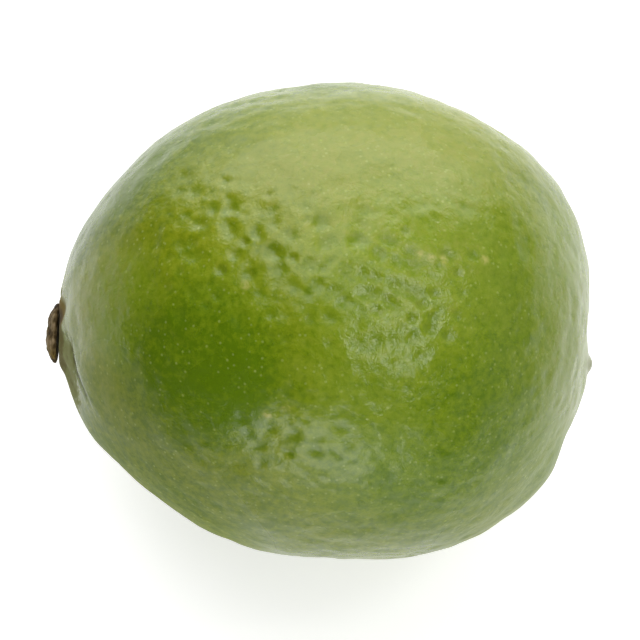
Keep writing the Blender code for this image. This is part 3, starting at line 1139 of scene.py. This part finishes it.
# %% Pale floor
FLOOR_HALF = 1.2
FLOOR_WHITE = (0.78, 0.78, 0.785, 1)
GLOW_NEAR = 0.55
GLOW_FAR = 0.05
GLOW_INNER = 0.055
GLOW_OUTER = 0.180

floor_mesh = bpy.data.meshes.new("floor")
floor_corners = [(x * FLOOR_HALF, y * FLOOR_HALF, 0) for x, y in ((-1, -1), (1, -1), (1, 1), (-1, 1))]
floor_mesh.from_pydata(floor_corners, [], [(0, 1, 2, 3)])
floor = bpy.data.objects.new("floor", floor_mesh)
bpy.context.scene.collection.objects.link(floor)

floor_finish = Finish("floor_white_paper")
ground = floor_finish.node("ShaderNodeTexCoord", out=3)
# painted light: the floor glows by itself round the fruit, which lifts the fruit's shadow
glow = floor_finish.near(ground, (0, 0, 0), GLOW_INNER, GLOW_OUTER)
glow = floor_finish.math("MULTIPLY_ADD", glow, GLOW_NEAR - GLOW_FAR, GLOW_FAR)
floor_finish.surface(Base_Color=FLOOR_WHITE, Roughness=0.95, Specular_IOR_Level=0.1)
floor_finish.surface(Emission_Color=(1, 1, 1, 1), Emission_Strength=glow)
floor_mesh.materials.append(floor_finish.material)
print("floor laid,", 2 * FLOOR_HALF, "m wide")

# %% [markdown]
# ## The camera
#
# The view is steep, from above the front, with the stem button at the left. A long lens from half a
# metre away keeps the fruit's proportions true. The lens follows from the width that it should take in
# at the fruit's distance.

# %% Camera
VIEW_AZIMUTH = math.radians(3.4)
VIEW_ELEVATION = math.radians(75)
VIEW_DISTANCE = 0.55
VIEW_WIDTH = 0.0695
SENSOR_WIDTH = 36
AIM_LEFT = 0.0002

towards_camera = Vector((
    math.sin(VIEW_AZIMUTH) * math.cos(VIEW_ELEVATION),
    -math.cos(VIEW_AZIMUTH) * math.cos(VIEW_ELEVATION),
    math.sin(VIEW_ELEVATION),
))
camera_right = Vector((math.cos(VIEW_AZIMUTH), math.sin(VIEW_AZIMUTH), 0))
camera_up = towards_camera.cross(camera_right)
low, high = (Vector(corner) for corner in solid_box)
aim = (low + high) / 2 - AIM_LEFT * camera_right

lens = bpy.data.cameras.new("camera")
lens.sensor_width = SENSOR_WIDTH
lens.lens = SENSOR_WIDTH * VIEW_DISTANCE / VIEW_WIDTH
lens.clip_start = 0.01
camera = bpy.data.objects.new("camera", lens)
camera.location = aim + VIEW_DISTANCE * towards_camera
camera.rotation_euler = towards_camera.to_track_quat("Z", "Y").to_euler()
bpy.context.scene.collection.objects.link(camera)
bpy.context.scene.camera = camera
print("lens:", round(lens.lens), "mm")

# %% [markdown]
# ## The light
#
# Soft studio light. A glossy fruit is a mirror that remembers where every lamp stood, so each light is
# given as the fruit sees it: how many degrees right of and above the camera its middle lies, how many
# degrees wide and high it looks, and how bright its face is. A large softbox stands behind and gives the
# wide haze over the top, and a second one hangs over the fruit. Two narrow strips stand right of the
# camera, a faint fill stands further right, and a low card in front lifts the underside. Each large box
# has a skirt, a wider box laid over it, so that its light falls off in steps: one box alone leaves a hard
# edge on the wax. The left front stays dark, which is where the rind shows its deepest green.

# %% Softboxes
LIGHT_DISTANCE = 0.6
OVERHEAD = 60
SOFTBOXES = (
    ("softbox_behind", -3, 83, 60, 42, 0.9),
    ("softbox_behind_skirt", 4, 83, 84, 42, 2.4),
    ("softbox_over", -11, 41, 30, 44, 1.75),
    ("softbox_over_skirt", -5, 40, 42, 52, 0.9),
    ("strip_near", 18.5, -3, 10, 42, 7.0),
    ("strip_far", 31, 22, 16, 12, 5.0),
    ("fill_right", 68, -5, 30, 80, 0.45),
    ("card_front", -7, -65, 33, 24, 3.4),
    ("card_front_skirt", -1, -62, 54, 34, 0.8),
)


def softbox(name, right, up, width, height, glow):
    """A flat light facing the fruit. Its four angles are in degrees, and glow is how bright its face is."""
    turn, tip = math.radians(right), math.radians(up)
    heading = math.sin(turn) * camera_right + math.cos(turn) * (
        math.sin(tip) * camera_up + math.cos(tip) * towards_camera
    )
    lamp = bpy.data.lights.new(name, "AREA")
    lamp.shape = "RECTANGLE"
    lamp.size = 2 * LIGHT_DISTANCE * math.tan(math.radians(width) / 2)
    lamp.size_y = 2 * LIGHT_DISTANCE * math.tan(math.radians(height) / 2)
    lamp.energy = glow * math.pi * lamp.size * lamp.size_y
    made = bpy.data.objects.new(name, lamp)
    made.location = aim + LIGHT_DISTANCE * heading
    sideways = camera_up.cross(heading) if abs(up) < OVERHEAD else camera_right
    upright = heading.cross(sideways).normalized()
    made.rotation_euler = Matrix((upright.cross(heading), upright, heading)).transposed().to_euler()
    made.visible_camera = False
    bpy.context.scene.collection.objects.link(made)


for row in SOFTBOXES:
    softbox(*row)
print("lights:", len(SOFTBOXES))

# %% Light of the room
ROOM_COLOUR = (0.95, 0.97, 1.0, 1)
ROOM_STRENGTH = 0.05

room = bpy.data.worlds.new("room")
room.use_nodes = True
background = room.node_tree.nodes["Background"]
background.inputs["Color"].default_value = ROOM_COLOUR
background.inputs["Strength"].default_value = ROOM_STRENGTH
bpy.context.scene.world = room
bpy.context.scene.view_settings.view_transform = "Standard"
print("light of the room:", ROOM_STRENGTH)
